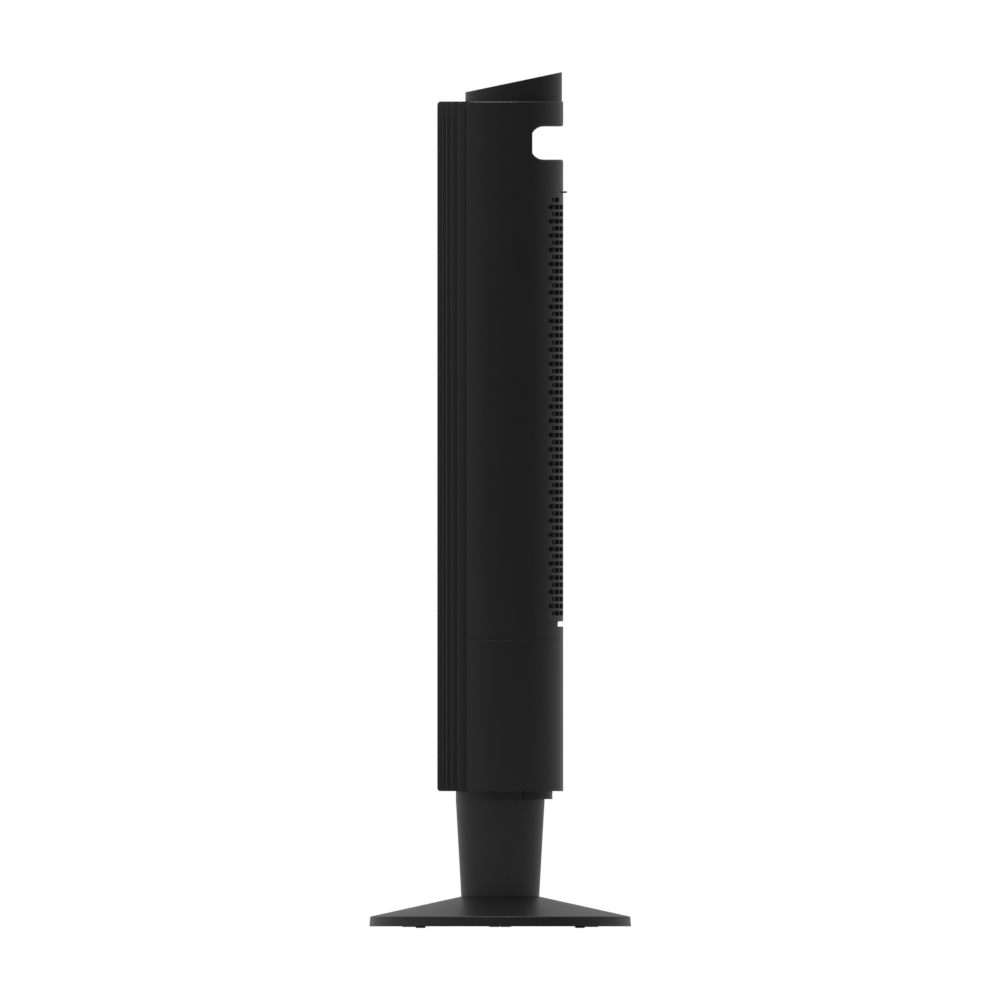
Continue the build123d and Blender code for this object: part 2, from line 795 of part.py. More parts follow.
def grille_slots():
    # Level slots, long and short by turns, each broken by the upright bars
    first = grille_top - slot_margin_high
    last = grille_bottom + slot_margin_low
    steps = round((first - last) / slot_pitch)
    bars = [Pos(x, 0) * Rectangle(grille_rib_width, 2 * slot_height) for x in grille_bars()]
    long_slot = SlotOverall(2 * long_slot_half, slot_height) - bars
    short_slot = SlotOverall(2 * short_slot_half, slot_height) - bars
    top_slot = short_slot - Rectangle(2 * blank_half, 2 * slot_height)
    cuts = [Pos(0, first) * top_slot]
    for row in range(1, steps + 1):
        z = first + (last - first) * row / steps
        cuts.append(Pos(0, z) * (long_slot if row % 2 else short_slot))
    windows = [extrude(Plane.XZ * window, -2 * tower_radius) for cut in cuts for window in cut.faces()]
    return windows


def grille_ribs():
    inner = tower_radius - grille_wall
    stock = ring(inner, inner - grille_rib_depth, grille_bottom + wall, grille_top - wall)
    half = grille_rib_width / 2
    reach = 2 * tower_radius
    return [stock & block(x - half, x + half, 0, reach, grille_bottom, grille_top) for x in grille_bars()]


def top_cover():
    low = tower_top - cap_thickness
    cover = disc(band_outer - running_gap, low, tower_top)
    rear_half = slab(split_y, 2 * tower_radius, low, tower_top)
    cover += disc(inner_radius - running_gap, low, tower_top) & rear_half
    cover -= disc(wire_hole, low, tower_top, 0, pod_offset)
    return cover - [Pos(x, y, tower_top + wall) * screw_hole(pod_screw_length) for x, y in pod_screw_places()]


def gland():
    # Cord grommet in the half-round boss, flush with its face
    length = 2 * gland_bore
    sleeve = Cylinder(gland_bore - screw_gap, length, align=seat)
    flange = Cylinder(gland_flange - screw_gap, gland_flange_depth, align=seat)
    flange = Pos(0, 0, length - gland_flange_depth) * flange
    bore = Cylinder(gland_bore - gland_wall, length, align=seat)
    place = Pos(0, boss_reach - length - running_gap, tower_bottom - boss_height / 2)
    return place * Rot(-90, 0, 0) * (sleeve + flange - bore)


# Electronics
def main_board():
    board = block(-board_width / 2, board_width / 2, board_place, board_place + board_thickness,
                  board_bottom, board_bottom + board_height)
    return board


def board_component(x, z, size):
    width, height, depth = size
    return block(x, x + width, board_place - depth, board_place, z, z + height)


def board_components():
    left = -board_width / 2 + 2 * board_margin
    low = board_bottom + board_margin
    relay_left = left + transformer_size[0] + component_gap
    terminal_left = relay_left + relay_size[0] + component_gap
    upper_row = low + transformer_size[1]
    transformer = board_component(left, low, transformer_size)
    relay = board_component(relay_left, low, relay_size)
    terminal = board_component(terminal_left, low, terminal_size)
    heat_sink = board_component(terminal_left, upper_row, heat_sink_size)
    capacitor = Rot(90, 0, 0) * Cylinder(capacitor_radius, capacitor_length, align=seat)
    capacitor = Pos(relay_left + component_gap, board_place, upper_row + component_gap) * capacitor
    return [transformer, relay, terminal, capacitor, heat_sink]


# Air mover
def motor_deck():
    deck = disc(core_radius, deck_bottom, deck_top)
    deck -= disc(2 * shaft_radius, deck_bottom, deck_top, 0, wheel_offset)
    hole = screw_hole(motor_mount_height + deck_thickness)
    return deck - [Pos(x, y, deck_top) * hole for x, y in motor_mount_places()]


def motor_mount_places():
    step = 360 / motor_mount_count
    turns = [math.radians(motor_mount_turn + i * step) for i in range(motor_mount_count)]
    return [(motor_mount_ring * math.cos(t), wheel_offset + motor_mount_ring * math.sin(t)) for t in turns]


def motor_mounts():
    return [ring(motor_mount_radius, screw_shank + screw_gap, motor_top, deck_bottom, x, y)
            for x, y in motor_mount_places()]


def motor_screws():
    return [Pos(x, y, deck_top) * screw(motor_mount_height + deck_thickness) for x, y in motor_mount_places()]


def motor_housing():
    # Two pressed cups with bearing seats; the lower one is open round the stator
    shell = ring(motor_radius, motor_radius - motor_shell, motor_bottom, motor_top)
    shell += disc(motor_radius, motor_bottom, motor_bottom + motor_shell)
    shell += disc(motor_radius, motor_top - motor_shell, motor_top)
    for low in (motor_bottom + motor_shell, motor_top - motor_shell - bush_height):
        shell += ring(bush_radius + motor_shell, bush_radius, low, low + bush_height)
    shell -= disc(shaft_radius + bearing_gap, motor_bottom, motor_top)
    vent = Rot(0, 90, 0) * Cylinder(motor_vent_radius, 2 * motor_radius, align=seat)
    shell -= around(Pos(0, 0, (motor_bottom + motor_top) / 2) * vent, motor_vent_count)
    shell += ring(motor_radius - motor_shell, stator_outer, stator_bottom, stator_top)
    return Pos(0, wheel_offset, 0) * shell


def motor_stator():
    return ring(stator_outer, stator_inner, stator_bottom, stator_top, 0, wheel_offset)


def motor_windings():
    inner = stator_inner + rotor_gap
    outer = stator_outer - winding_margin
    lower = ring(outer, inner, stator_bottom - winding_height, stator_bottom, 0, wheel_offset)
    upper = ring(outer, inner, stator_top, stator_top + winding_height, 0, wheel_offset)
    rounded = [fillet(coil.edges().filter_by(GeomType.CIRCLE), winding_height / 3) for coil in (lower, upper)]
    return rounded


def motor_bushes():
    bush = ring(bush_radius, shaft_radius + bearing_gap, 0, bush_height, 0, wheel_offset)
    lows = (motor_bottom + motor_shell, motor_top - motor_shell - bush_height)
    return [Pos(0, 0, low) * bush for low in lows]


def motor_rotor():
    return ring(stator_inner - rotor_gap, shaft_radius, stator_bottom, stator_top, 0, wheel_offset)


def motor_shaft():
    return disc(shaft_radius, motor_bottom + motor_shell, wheel_bottom + hub_grip, 0, wheel_offset)


def wheel_hub():
    # Rubber-mounted hub that the shaft's end sits in
    hub = disc(hub_outer, wheel_bottom - hub_drop, wheel_bottom + hub_grip)
    hub += disc(hub_outer + hub_rim, wheel_bottom - wheel_plate, wheel_bottom)
    hub -= disc(shaft_radius, wheel_bottom - hub_drop, wheel_bottom + hub_grip)
    hole = Rot(0, 90, 0) * Cylinder(screw_shank + screw_gap, 2 * hub_outer, align=seat)
    hub -= Pos(0, 0, wheel_bottom - hub_drop / 2 - wheel_plate / 2) * hole
    return Pos(0, wheel_offset, 0) * hub


def hub_screw():
    length = hub_outer - shaft_radius
    place = Pos(shaft_radius, wheel_offset, wheel_bottom - hub_drop / 2 - wheel_plate / 2)
    return place * Rot(0, 90, 0) * Cylinder(screw_shank, length, align=seat)


def blade_face():
    # Forward-curved blade: the same arc twice, turned by the blade's thickness
    outer = wheel_radius - blade_end_gap
    middle = (blade_inner + outer) / 2
    start = Vector(blade_inner, 0, 0)
    centre = Vector(middle, blade_sweep * blade_belly, 0)
    end = Vector(outer, 0, 0).rotate(Axis.Z, math.degrees(blade_sweep / outer))
    front = ThreePointArc(start, centre, end)
    back = front.rotate(Axis.Z, blade_thickness_angle)
    return make_face([front, Line(front @ 1, back @ 1), back, Line(front @ 0, back @ 0)])


def impeller_wheel():
    # Moulded segments stacked and welded end to end: a plate with a ring of blades on it
    pitch = (wheel_top - wheel_plate - wheel_bottom) / wheel_segments
    blades = around(extrude(blade_face(), pitch), blade_count)
    plate = disc(wheel_radius, 0, wheel_plate)
    open_plate = plate - disc(blade_inner - blade_ring, 0, wheel_plate)
    closed_plate = plate - disc(hub_outer, 0, wheel_plate)
    segments = []
    for i in range(wheel_segments):
        base = open_plate if i else closed_plate
        segments.append(Pos(0, wheel_offset, wheel_bottom + i * pitch) * (base + blades))
    lid = plate - disc(stub_radius, 0, wheel_plate)
    return segments + [Pos(0, wheel_offset, wheel_top - wheel_plate) * lid]


def wheel_stub():
    high = bearing_plate_bottom + top_bearing_height
    stub = disc(shaft_radius, wheel_top - wheel_plate - stub_flange, high, 0, wheel_offset)
    stub += disc(stub_radius, wheel_top - wheel_plate, wheel_top + wheel_plate, 0, wheel_offset)
    flange_top = wheel_top - wheel_plate
    return stub + disc(2 * stub_radius, flange_top - stub_flange, flange_top, 0, wheel_offset)


def bearing_plate():
    high = bearing_plate_bottom + bearing_plate_thickness
    plate = disc(core_radius, bearing_plate_bottom, high)
    boot_radius = top_bearing_radius + boot_wall
    plate += disc(boot_radius + wall, high, high + top_bearing_height, 0, wheel_offset)
    return plate - disc(boot_radius, bearing_plate_bottom, high + top_bearing_height, 0, wheel_offset)


def bearing_boot():
    low = bearing_plate_bottom
    outer = top_bearing_radius + boot_wall
    return ring(outer, top_bearing_radius, low, low + top_bearing_height, 0, wheel_offset)


def top_bearing():
    low = bearing_plate_bottom
    high = low + top_bearing_height
    return ring(top_bearing_radius, shaft_radius + bearing_gap, low, high, 0, wheel_offset)


def scroll_guide():
    # Curved rear wall that leads the air round the wheel to the outlet
    sheet = ring(guide_radius + guide_wall, guide_radius, deck_top, guide_top, guide_centre_x, guide_centre_y)
    sheet = sheet & block(0, tower_radius, post_rear + running_gap, scroll_end_y, deck_top, guide_top)
    lip = block(scroll_end_x, tower_radius, scroll_end_y - guide_wall, scroll_end_y, deck_top, guide_top)
    return sheet + (lip & disc(inner_radius - running_gap, deck_top, guide_top))


def vortex_tongue():
    # Wall with a rounded nose close to the wheel, between the outlet and the intake
    nose_x = -(wheel_radius + tongue_gap + tongue_nose)
    nose = disc(tongue_nose, deck_top, guide_top, nose_x, wheel_offset)
    inner = inner_radius - running_gap
    lip_rear = wheel_offset + tongue_nose
    lip = block(-inner, nose_x, lip_rear - guide_wall, lip_rear, deck_top, guide_top)
    leg = block(-guide_wall, 0, post_rear + running_gap - wheel_offset, 0, deck_top, guide_top)
    leg = Pos(nose_x - tongue_nose + guide_wall, wheel_offset, 0) * Rot(0, 0, -tongue_slant) * leg
    return (nose + lip + leg) & disc(inner, deck_top, guide_top)


# Control pod
def panel_solid(sketch, top, thickness):
    # Extrudes a sketch on the tilted face, its top face at the given depth under that face
    return extrude(panel_plane.offset(-top) * sketch, -thickness)


def under_face(depth):
    # Everything under the tilted face, moved down by a depth
    return panel_solid(Rectangle(6 * pod_radius, 6 * pod_radius), depth, 3 * tower_radius)


def control_pod():
    high = tower_top + pod_rear_height
    pod = ring(pod_radius, pod_radius - wall, tower_top, high, 0, pod_offset)
    pod = pod & under_face(0)
    inner = pod_radius - wall - pod_flange
    pod += ring(pod_radius - wall / 2, inner, tower_top, tower_top + wall, 0, pod_offset)
    return pod - [Pos(x, y, tower_top + wall) * screw_hole(pod_screw_length) for x, y in pod_screw_places()]


def pod_screw_places():
    step = 360 / pod_screw_count
    turns = [math.radians(pod_screw_turn + i * step) for i in range(pod_screw_count)]
    reach = pod_radius - wall - pod_flange / 2
    return [(reach * math.cos(t), pod_offset + reach * math.sin(t)) for t in turns]


def pod_screws():
    return [Pos(x, y, tower_top + wall) * screw(pod_screw_length) for x, y in pod_screw_places()]


def button_places():
    return [((i - 2) * button_spacing, button_row) for i in range(5)]


def control_panel():
    stock = disc(pod_radius - wall, tower_top, tower_top + pod_rear_height, 0, pod_offset)
    panel = (stock & under_face(0)) - under_face(panel_thickness)
    holes = [Pos(x, y) * Circle(button_radius + button_gap) for x, y in button_places()]
    panel -= panel_solid(Sketch() + holes, 0, panel_thickness)
    outer = Pos(0, window_row) * RectangleRounded(window_width, window_length, window_corner)
    inner_size = (window_width - 2 * window_ledge, window_length - 2 * window_ledge)
    inner = Pos(0, window_row) * RectangleRounded(*inner_size, window_corner / 2)
    panel -= panel_solid(outer, 0, window_thickness)
    panel -= panel_solid(inner, 0, panel_thickness)
    pillars = [Pos(x, y) * Circle(pillar_radius) for x, y in pillar_places()]
    return panel + panel_solid(Sketch() + pillars, panel_thickness, board_drop - panel_thickness)


def pillar_places():
    return [(x, y) for x in (-pillar_x, pillar_x) for y in (pillar_low, pillar_high)]


def display_window():
    size = (window_width - 2 * screw_gap, window_length - 2 * screw_gap)
    outline = Pos(0, window_row) * RectangleRounded(*size, window_corner - screw_gap)
    return panel_solid(outline, 0, window_thickness)


def display_board():
    outline = Pos(0, board_row) * RectangleRounded(board_long, board_wide, window_corner)
    return panel_solid(outline, board_drop, board_thickness)


def display_module():
    margin = 2 * (window_ledge + running_gap)
    outline = RectangleRounded(window_width - margin, window_length - margin, window_corner / 2)
    outline = Pos(0, window_row) * outline
    return panel_solid(outline, window_thickness + running_gap,
                       board_drop - window_thickness - running_gap)


def tact_switches():
    top = button_depth + button_travel + running_gap
    keys = [Pos(x, y) * Circle(switch_key) for x, y in button_places()]
    bodies = [Pos(x, y) * Rectangle(switch_size, switch_size) for x, y in button_places()]
    body_top = board_drop - switch_height
    switches = panel_solid(Sketch() + keys, top, body_top - top) + panel_solid(Sketch() + bodies, body_top, switch_height)
    return switches


def button(x, y):
    cap = panel_solid(Pos(x, y) * Circle(button_radius), 0, button_depth)
    flange = panel_solid(Pos(x, y) * Circle(button_radius + button_flange), button_depth - button_flange_height,
                         button_flange_height)
    return cap + flange


def export(shapes):
    for name, shape in shapes.items():
        solids = shape if isinstance(shape, list) else [shape]
        export_step(Compound([part for piece in solids for part in piece.solids()]), f"parts/{name}.step")


export({
    "base_shell": base_shell(),
    "base_cover": base_cover(),
    "base_weight": base_weight(),
    "backing_plate": backing_plate(),
    "rubber_feet": rubber_feet(),
    "base_pads": base_pads(),
    "base_screws": base_screws(),
    "neck_column": neck_column(),
    "neck_screws": neck_screws(),
    "turntable_hub": turntable_hub(),
    "thrust_washer": thrust_washer(),
    "oscillation_gear": oscillation_gear(),
    "gear_screws": gear_screws(),
    "hub_screws": hub_screws(),
    "drive_pinion": drive_pinion(),
    "stepper_motor": stepper_motor(),
    "stepper_bracket": stepper_bracket(),
    "stepper_screws": stepper_screws(),
    "lower_rear_housing": lower_rear_housing(),
    "lower_front_cover": lower_front_cover(),
    "front_grille": front_grille(),
    "upper_rear_housing": upper_rear_housing(),
    "rear_grille": rear_grille(),
    "top_cover": top_cover(),
    "cord_gland": gland(),
    "main_board": main_board(),
    "board_components": board_components(),
    "motor_deck": motor_deck(),
    "motor_mounts": motor_mounts(),
    "motor_screws": motor_screws(),
    "motor_housing": motor_housing(),
    "motor_stator": motor_stator(),
    "motor_windings": motor_windings(),
    "motor_bushes": motor_bushes(),
    "motor_rotor": motor_rotor(),
    "motor_shaft": motor_shaft(),
    "wheel_hub": wheel_hub(),
    "hub_screw": hub_screw(),
    "impeller_wheel": impeller_wheel(),
    "wheel_stub": wheel_stub(),
    "bearing_plate": bearing_plate(),
    "bearing_boot": bearing_boot(),
    "top_bearing": top_bearing(),
    "scroll_guide": scroll_guide(),
    "vortex_tongue": vortex_tongue(),
    "grille_ribs": grille_ribs(),
    "control_pod": control_pod(),
    "pod_screws": pod_screws(),
    "control_panel": control_panel(),
    "display_window": display_window(),
    "display_board": display_board(),
    "display_module": display_module(),
    "tact_switches": tact_switches(),
    **{name: button(*place) for name, place in zip(button_names, button_places())},
})
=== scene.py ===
import json
import math

import bmesh
import bpy
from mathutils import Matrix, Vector


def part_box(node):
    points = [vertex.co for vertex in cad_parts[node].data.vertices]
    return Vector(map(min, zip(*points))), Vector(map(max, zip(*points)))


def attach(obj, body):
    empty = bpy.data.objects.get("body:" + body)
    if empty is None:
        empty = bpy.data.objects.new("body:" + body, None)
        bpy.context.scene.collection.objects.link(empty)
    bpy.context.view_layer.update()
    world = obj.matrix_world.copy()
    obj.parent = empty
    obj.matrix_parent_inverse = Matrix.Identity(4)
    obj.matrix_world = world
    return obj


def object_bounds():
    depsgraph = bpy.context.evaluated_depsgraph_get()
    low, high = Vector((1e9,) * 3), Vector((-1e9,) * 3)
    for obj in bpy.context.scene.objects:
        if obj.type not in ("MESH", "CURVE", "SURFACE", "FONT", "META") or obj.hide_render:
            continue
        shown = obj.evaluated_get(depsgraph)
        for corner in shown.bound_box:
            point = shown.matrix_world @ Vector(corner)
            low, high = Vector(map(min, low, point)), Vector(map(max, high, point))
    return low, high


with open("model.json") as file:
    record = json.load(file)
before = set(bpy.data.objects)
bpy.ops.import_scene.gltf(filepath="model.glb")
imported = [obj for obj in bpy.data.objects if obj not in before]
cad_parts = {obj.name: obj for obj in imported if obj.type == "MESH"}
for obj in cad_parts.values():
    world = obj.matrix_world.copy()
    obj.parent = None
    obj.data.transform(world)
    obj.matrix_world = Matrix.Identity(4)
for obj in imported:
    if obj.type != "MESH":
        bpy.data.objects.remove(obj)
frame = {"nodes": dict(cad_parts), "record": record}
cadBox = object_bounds()  # the object's box as the solids give it
mm = 0.001  # sizes below are written in millimetres


def linearColour(code):
    levels = [int(code[i:i + 2], 16) / 255 for i in (1, 3, 5)]
    return [c / 12.92 if c <= 0.04045 else ((c + 0.055) / 1.055) ** 2.4 for c in levels] + [1.0]


def addNode(tree, kind, settings=None, links=None):
    node = tree.nodes.new(kind)
    for name, value in (settings or {}).items():
        if isinstance(name, int) or name in node.inputs:
            node.inputs[name].default_value = value
        else:
            setattr(node, name, value)
    for name, source in (links or {}).items():
        tree.links.new(source, node.inputs[name])
    return node


def startMaterial(name, settings):
    material = bpy.data.materials.new(name)
    material.use_nodes = True
    tree = material.node_tree
    shader = tree.nodes["Principled BSDF"]
    for socket, value in settings.items():
        shader.inputs[socket].default_value = value
    place = addNode(tree, "ShaderNodeTexCoord").outputs["Object"]  # metres, moves with the piece
    return material, tree, shader, place


# past these cosines an edge takes the look's paler edge colour: a painted highlight, and on the ballast also
# wear
edgeWearAndHighlight = {"starts": 0.99, "full": 0.8}  # how far an edge turns the light's normal, as a cosine


def roundedEdges(tree, radius):
    # softens every sharp edge for the light, and gives a mask of where the edges are
    soft = addNode(tree, "ShaderNodeBevel", {"samples": 4, "Radius": radius * mm}).outputs["Normal"]
    flat = addNode(tree, "ShaderNodeNewGeometry").outputs["Normal"]
    turn = addNode(tree, "ShaderNodeVectorMath", {"operation": "DOT_PRODUCT"}, {0: soft, 1: flat})
    mask = addNode(tree, "ShaderNodeMapRange", {"From Min": edgeWearAndHighlight["starts"], "From Max": edgeWearAndHighlight["full"]},
                   {"Value": turn.outputs["Value"]})
    return soft, mask.outputs["Result"]


def mouldedPlastic(name, look):
    material, tree, shader, place = startMaterial(name, {"IOR": look["ior"], "Metallic": 0.0})
    soft, edge = roundedEdges(tree, look["edgeRadius"])
    grain = addNode(tree, "ShaderNodeTexNoise", {"Scale": 1 / (look["grain"] * mm), "Detail": 2.0},
                    {"Vector": place})
    flow = addNode(tree, "ShaderNodeTexNoise", {"Scale": 1 / (look["flow"] * mm), "Detail": 3.0},
                   {"Vector": place})
    bump = addNode(tree, "ShaderNodeBump", {"Strength": 1.0, "Distance": look["grainDepth"] * mm},
                   {"Height": grain.outputs["Fac"], "Normal": soft})
    tones = {"data_type": "RGBA", 6: linearColour(look["dark"]), 7: linearColour(look["pale"])}
    tone = addNode(tree, "ShaderNodeMix", tones, {0: flow.outputs["Fac"]})
    # every edge is painted in the look's paler edge colour: a painted highlight
    wearAndHighlight = addNode(tree, "ShaderNodeMix", {"data_type": "RGBA", 7: linearColour(look["edge"])},
                   {0: edge, 6: tone.outputs[2]})
    levels = {"To Min": look["roughness"] - look["spread"], "To Max": look["roughness"] + look["spread"]}
    sheen = addNode(tree, "ShaderNodeMapRange", levels, {"Value": flow.outputs["Fac"]})
    tree.links.new(wearAndHighlight.outputs[2], shader.inputs["Base Color"])
    tree.links.new(sheen.outputs["Result"], shader.inputs["Roughness"])
    tree.links.new(bump.outputs["Normal"], shader.inputs["Normal"])
    return material


# in every plastic look, "edge" is a paler colour painted on all edges: a painted highlight
# black ABS from a spark-textured mould: an even satin black, no sparkle, edges painted a touch paler as a
# painted highlight
housingLook = {"dark": "#131313", "pale": "#161616", "edge": "#222222", "ior": 1.5, "roughness": 0.38,
               "spread": 0.03, "grain": 1.2, "grainDepth": 0.004,  # real grain is 0.1 mm, drawn coarser
               "flow": 70.0, "edgeRadius": 0.3}
# the same ABS in the outlet's ribs, from a finer texture: matt, so that each rib stays dark; its colour is
# painted paler than the housing's to lift the shade between the ribs, a painted fill light
grilleLook = dict(housingLook, dark="#171717", pale="#1a1a1a", edge="#1a1a1a", roughness=0.75, flow=45.0,
                  edgeRadius=0.08)
# black polypropylene base and neck, moulded: the same satin with a longer flow pattern
baseLook = dict(housingLook, flow=110.0, edgeRadius=0.35)
# black ABS control panel from a polished mould: a clearer reflection
panelLook = dict(housingLook, dark="#101011", pale="#131314", roughness=0.22, spread=0.02, grainDepth=0.001)
# black ABS keys, fine texture: softer and a little paler than the panel round them
keyLook = dict(housingLook, dark="#1c1c1d", pale="#202021", roughness=0.5)
# pad printed ink, matt pale grey: thin signs stand clear of the dark key
inkLook = dict(housingLook, dark="#b4b6b8", pale="#bfc1c3", edge="#c8c9cb", roughness=0.6, spread=0.05,
               grain=1.5, grainDepth=0.001, flow=6.0, edgeRadius=0.02)
# natural nylon, moulded: milky and waxy
nylonLook = {"dark": "#dcd8c9", "pale": "#e6e3d6", "edge": "#efede4", "ior": 1.53, "roughness": 0.38,
             "spread": 0.05, "grain": 1.5, "grainDepth": 0.01, "flow": 18.0, "edgeRadius": 0.3}
# glass-filled polypropylene wheel: dark grey with a dry bloom
wheelLook = dict(nylonLook, dark="#34343a", pale="#3d3d42", edge="#4a4a4e", ior=1.49, roughness=0.48)
# epoxy moulded components: dull black, with corners painted pale as a painted highlight
componentLook = dict(nylonLook, dark="#262626", pale="#2e2e2e", edge="#3a3a3a", ior=1.55, roughness=0.55,
                     flow=6.0)
print("plastics ready")


def smokedAcrylic(name, look):
    settings = {"IOR": 1.49, "Transmission Weight": look["clear"], "Coat Weight": look["coat"],
                "Coat Roughness": look["smooth"]}
    material, tree, shader, place = startMaterial(name, settings)
    soft, edge = roundedEdges(tree, look["edgeRadius"])
    haze = addNode(tree, "ShaderNodeTexNoise", {"Scale": 1 / (look["haze"] * mm), "Detail": 4.0},
                   {"Vector": place})
    sheen = addNode(tree, "ShaderNodeMapRange", {"To Min": look["smooth"], "To Max": look["hazy"]},
                    {"Value": haze.outputs["Fac"]})
    # the window's edges are painted paler than its smoke tint: a painted highlight
    tints = {"data_type": "RGBA", 6: linearColour(look["tint"]), 7: linearColour(look["edge"])}
    tint = addNode(tree, "ShaderNodeMix", tints, {0: edge})
    tree.links.new(tint.outputs[2], shader.inputs["Base Color"])
    tree.links.new(sheen.outputs["Result"], shader.inputs["Roughness"])
    tree.links.new(soft, shader.inputs["Normal"])
    return material


# cast acrylic with a smoke tint, polished: a dark glassy window
windowLook = {"tint": "#1a1b1e", "edge": "#33353a", "clear": 0.6, "coat": 0.3, "smooth": 0.03, "hazy": 0.09,
              "haze": 25.0, "edgeRadius": 0.3}


def softRubber(name, look):
    material, tree, shader, place = startMaterial(name, {"IOR": 1.52, "Sheen Weight": look["sheen"],
                                                         "Sheen Roughness": look["sheenRoughness"]})
    soft = roundedEdges(tree, look["edgeRadius"])[0]
    cells = addNode(tree, "ShaderNodeTexVoronoi", {"Scale": 1 / (look["cell"] * mm)}, {"Vector": place})
    dust = addNode(tree, "ShaderNodeTexNoise", {"Scale": 1 / (look["dust"] * mm), "Detail": 4.0},
                   {"Vector": place})
    tones = {"data_type": "RGBA", 6: linearColour(look["dark"]), 7: linearColour(look["pale"])}
    tone = addNode(tree, "ShaderNodeMix", tones, {0: dust.outputs["Fac"]})
    sheen = addNode(tree, "ShaderNodeMapRange", {"To Min": look["clean"], "To Max": look["dusty"]},
                    {"Value": dust.outputs["Fac"]})
    bump = addNode(tree, "ShaderNodeBump", {"Strength": 1.0, "Distance": look["depth"] * mm},
                   {"Height": cells.outputs["Distance"], "Normal": soft})
    tree.links.new(tone.outputs[2], shader.inputs["Base Color"])
    tree.links.new(sheen.outputs["Result"], shader.inputs["Roughness"])
    tree.links.new(bump.outputs["Normal"], shader.inputs["Normal"])
    return material


# moulded rubber: no shine, under a dusty skin
rubberLook = {"dark": "#161616", "pale": "#1f1f1f", "cell": 1.0, "depth": 0.02, "dust": 8.0, "clean": 0.72,
              "dusty": 0.9, "sheen": 0.05, "sheenRoughness": 0.6, "edgeRadius": 0.4}
# die-cut polyurethane foam: dull, with open cells that catch the light
foamLook = dict(rubberLook, dark="#202020", pale="#2b2b2b", cell=1.4, depth=0.25, dust=6.0, sheen=0.15,
                edgeRadius=0.6)
print("window, rubber and foam ready")


def metalPart(name, look):
    material, tree, shader, place = startMaterial(name, {"Metallic": look["metallic"]})
    soft, edge = roundedEdges(tree, look["edgeRadius"])
    lay = addNode(tree, "ShaderNodeMapping", {"Scale": look["lay"]}, {"Vector": place})
    lines = addNode(tree, "ShaderNodeTexNoise", {"Scale": 1 / (look["line"] * mm), "Detail": 5.0},
                    {"Vector": lay.outputs["Vector"]})
    blot = addNode(tree, "ShaderNodeTexNoise", {"Scale": 1 / (look["blot"] * mm), "Detail": 3.0},
                   {"Vector": place})
    tones = {"data_type": "RGBA", 6: linearColour(look["dark"]), 7: linearColour(look["pale"])}
    tone = addNode(tree, "ShaderNodeMix", tones, {0: blot.outputs["Fac"]})
    # every edge is painted in the look's paler edge colour: a painted highlight, and on the ballast also wear
    wearAndHighlight = addNode(tree, "ShaderNodeMix", {"data_type": "RGBA", 7: linearColour(look["edge"])},
                   {0: edge, 6: tone.outputs[2]})
    levels = {"To Min": look["roughness"] - look["spread"], "To Max": look["roughness"] + look["spread"]}
    sheen = addNode(tree, "ShaderNodeMapRange", levels, {"Value": lines.outputs["Fac"]})
    bump = addNode(tree, "ShaderNodeBump", {"Strength": 1.0, "Distance": look["depth"] * mm},
                   {"Height": lines.outputs["Fac"], "Normal": soft})
    tree.links.new(wearAndHighlight.outputs[2], shader.inputs["Base Color"])
    tree.links.new(sheen.outputs["Result"], shader.inputs["Roughness"])
    tree.links.new(bump.outputs["Normal"], shader.inputs["Normal"])
    return material


# in the zinc, shell and bronze looks, "edge" is a paler colour painted on all edges: a painted highlight; on
# the ballast it is wear
# zinc plated steel: bright grey, slightly cloudy
zincLook = {"dark": "#b9bcbf", "pale": "#d2d4d6", "edge": "#e2e3e4", "metallic": 1.0, "roughness": 0.34,
            "spread": 0.08, "lay": (1, 1, 1), "line": 0.6, "depth": 0.004, "blot": 5.0, "edgeRadius": 0.2}
# cast iron ballast under a thin black coat: rough and dull, with worn grey edges
ballastLook = dict(zincLook, dark="#3c3c3e", pale="#48484a", edge="#5c5c5e", metallic=0.0, roughness=0.6,
                   line=1.2, depth=0.03, blot=20.0)
# deep drawn aluminium motor shell: fine lines round the can
shellLook = dict(zincLook, dark="#c4c5c7", pale="#d7d8da", roughness=0.3, lay=(0.08, 0.08, 1.0), line=0.5,
                 blot=12.0)
# sintered bronze bushes: dull gold with open pores
bronzeLook = dict(zincLook, dark="#a4803f", pale="#bb9656", edge="#cfae72", roughness=0.45, line=0.4,
                  depth=0.012, blot=3.0)


def stackedSteel(name, look):
    material, tree, shader, place = startMaterial(name, {"Metallic": 1.0, "Roughness": look["roughness"]})
    height = addNode(tree, "ShaderNodeSeparateXYZ", {}, {"Vector": place}).outputs["Z"]
    half = look["sheet"] * mm / 2
    sheets = addNode(tree, "ShaderNodeMath", {"operation": "PINGPONG", 1: half}, {0: height})
    level = addNode(tree, "ShaderNodeMapRange", {"From Max": half}, {"Value": sheets.outputs["Value"]})
    tones = {"data_type": "RGBA", 6: linearColour(look["dark"]), 7: linearColour(look["pale"])}
    tone = addNode(tree, "ShaderNodeMix", tones, {0: level.outputs["Result"]})
    bump = addNode(tree, "ShaderNodeBump", {"Strength": 1.0, "Distance": look["depth"] * mm},
                   {"Height": level.outputs["Result"]})
    tree.links.new(tone.outputs[2], shader.inputs["Base Color"])
    tree.links.new(bump.outputs["Normal"], shader.inputs["Normal"])
    return material


# silicon steel sheets, punched and stacked: a fine stripe at every sheet
laminationLook = {"dark": "#4a4b50", "pale": "#84868b", "roughness": 0.45, "depth": 0.05,
                  "sheet": 1.0}  # real sheets are 0.5 mm, drawn at 1 mm to show


